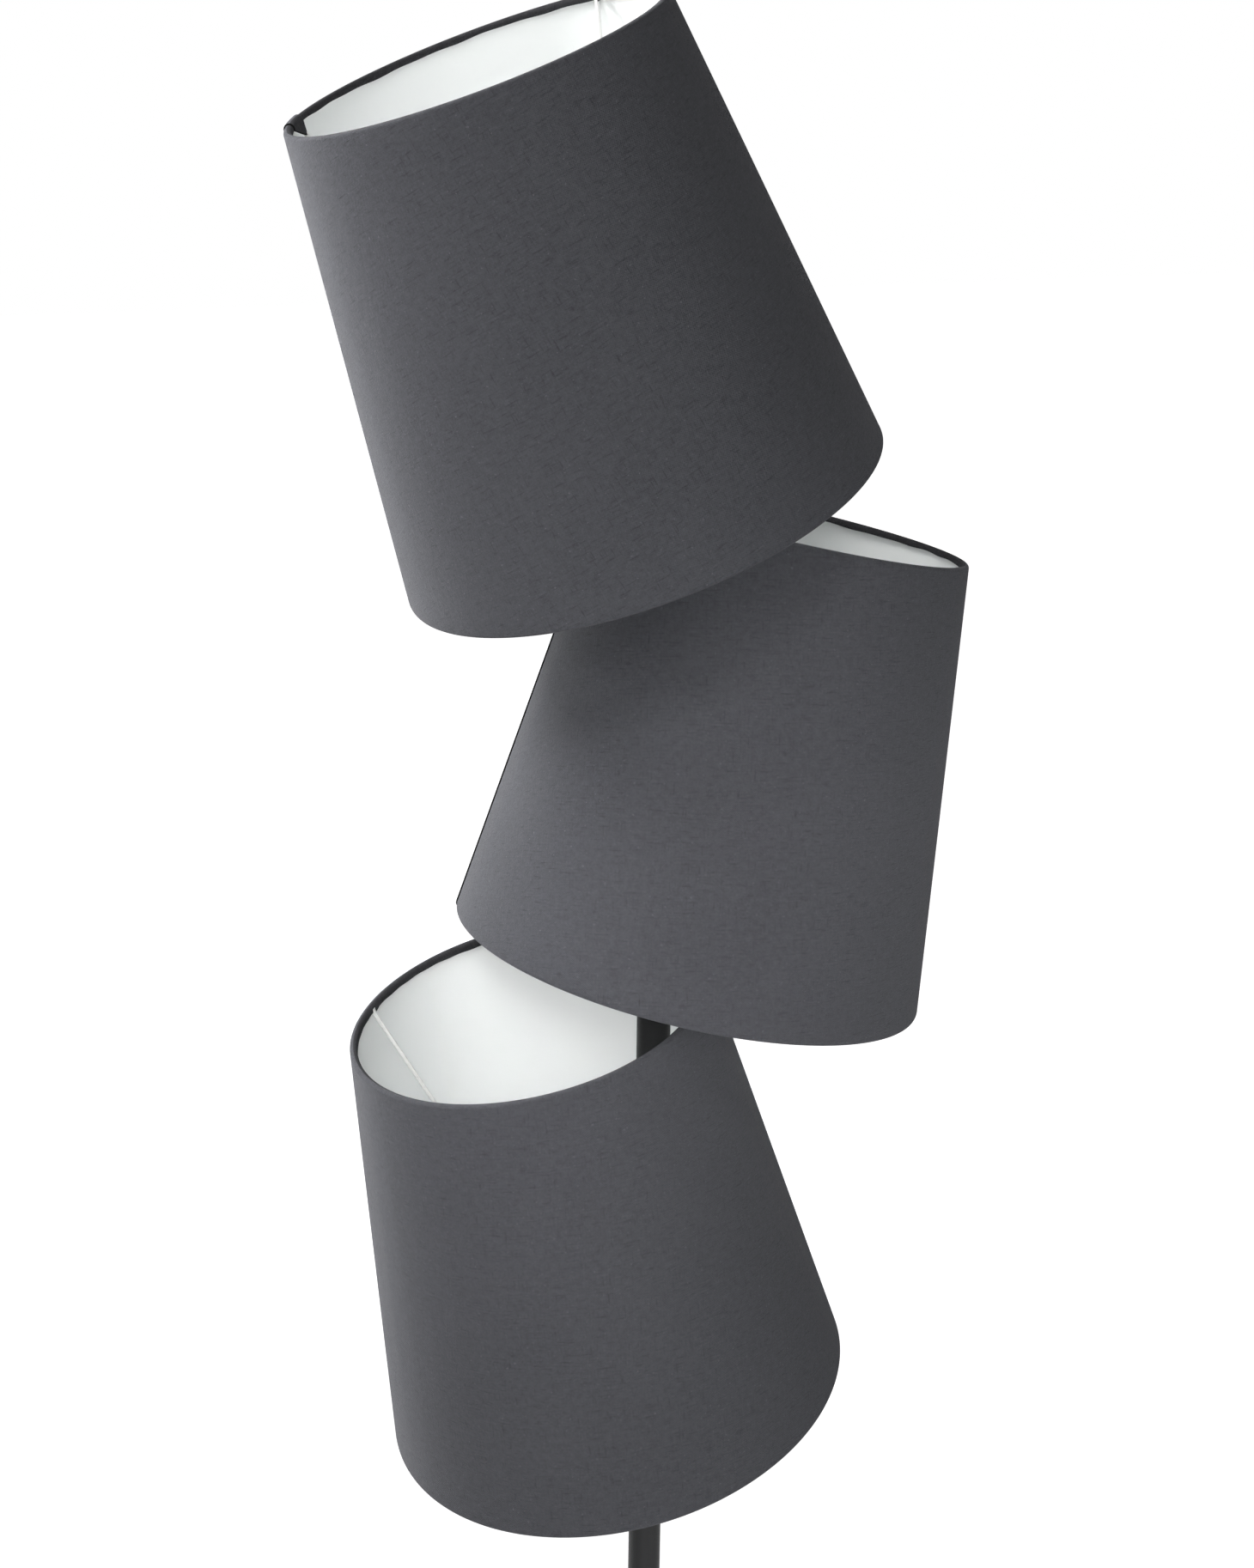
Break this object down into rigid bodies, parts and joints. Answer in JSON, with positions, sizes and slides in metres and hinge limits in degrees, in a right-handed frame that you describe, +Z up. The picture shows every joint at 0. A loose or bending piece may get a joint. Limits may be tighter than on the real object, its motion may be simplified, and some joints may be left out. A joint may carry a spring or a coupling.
{
  "type": "floor lamp",
  "caption": "Floor lamp with tapered fabric shades leaning to and fro up a slim pole on a round weighted base; each shade turns about its lampholder.",
  "frame": {"origin": "on the floor, under the pole's axis", "axes": "+Z up along the pole; the shades lean in the XZ plane, the upper and lower ones to -X and the middle one to +X; the base's lead inlet is at +Y"},
  "size_m": [0.3511, 0.282, 1.5795],
  "materials": {
    "fabric": "matte woven",
    "liner": "matte white sheet",
    "white_paint": "white enamel",
    "black_paint": "satin black powder coat",
    "white_plastic": "moulded",
    "black_plastic": "moulded",
    "zinc": "zinc plated",
    "brass": "plain",
    "bulb_metal": "bright",
    "bulb_glass": "opal",
    "weight": "rough",
    "pad": "foam"
  },
  "bodies": {
    "stand": {"base_pad": "pad", "base_weight": "weight", "base_cover": "black_paint", "base_washer": "zinc", "base_nut": "zinc", "base_stud": "zinc", "inlet_bush": "black_plastic", "pole_collar": "black_paint", "pole_lower": "black_paint", "pole_middle": "black_paint", "pole_upper": "black_paint", "pole_end": "black_paint", "pole_bushes": "zinc", "pole_studs": "zinc", "pole_cap": "black_plastic", "holder_nipples": "zinc", "holder_nuts": "zinc", "top_bracket": "black_paint", "top_holder_cap": "white_plastic", "top_holder_body": "white_plastic", "top_holder_insert": "white_plastic", "top_holder_contacts": "brass", "top_shade_ring": "white_plastic", "top_bulb_cap": "bulb_metal", "top_bulb_globe": "bulb_glass", "middle_bracket": "black_paint", "middle_holder_cap": "white_plastic", "middle_holder_body": "white_plastic", "middle_holder_insert": "white_plastic", "middle_holder_contacts": "brass", "middle_shade_ring": "white_plastic", "middle_bulb_cap": "bulb_metal", "middle_bulb_globe": "bulb_glass", "bottom_bracket": "black_paint", "bottom_holder_cap": "white_plastic", "bottom_holder_body": "white_plastic", "bottom_holder_insert": "white_plastic", "bottom_holder_contacts": "brass", "bottom_shade_ring": "white_plastic", "bottom_bulb_cap": "bulb_metal", "bottom_bulb_globe": "bulb_glass"},
    "top_shade": {"top_carrier": "white_paint", "top_upper_ring": "white_paint", "top_lower_ring": "white_paint", "top_liner": "liner", "top_cover": "fabric"},
    "middle_shade": {"middle_carrier": "white_paint", "middle_upper_ring": "white_paint", "middle_lower_ring": "white_paint", "middle_liner": "liner", "middle_cover": "fabric"},
    "bottom_shade": {"bottom_carrier": "white_paint", "bottom_upper_ring": "white_paint", "bottom_lower_ring": "white_paint", "bottom_liner": "liner", "bottom_cover": "fabric"}
  },
  "joints": [
    {"name": "top_shade_turn", "type": "hinge", "parent": "stand", "child": "top_shade", "pos_m": [-0.03, 0, 1.372], "axis": [-0.3746, 0, 0.9272], "continuous": true},
    {"name": "middle_shade_turn", "type": "hinge", "parent": "stand", "child": "middle_shade", "pos_m": [0.03, 0, 1.133], "axis": [0.225, 0, 0.9744], "range_deg": [-1, 89]},
    {"name": "bottom_shade_turn", "type": "hinge", "parent": "stand", "child": "bottom_shade", "pos_m": [-0.03, 0, 0.888], "axis": [-0.225, 0, 0.9744], "range_deg": [-1, 89]}
  ]
}
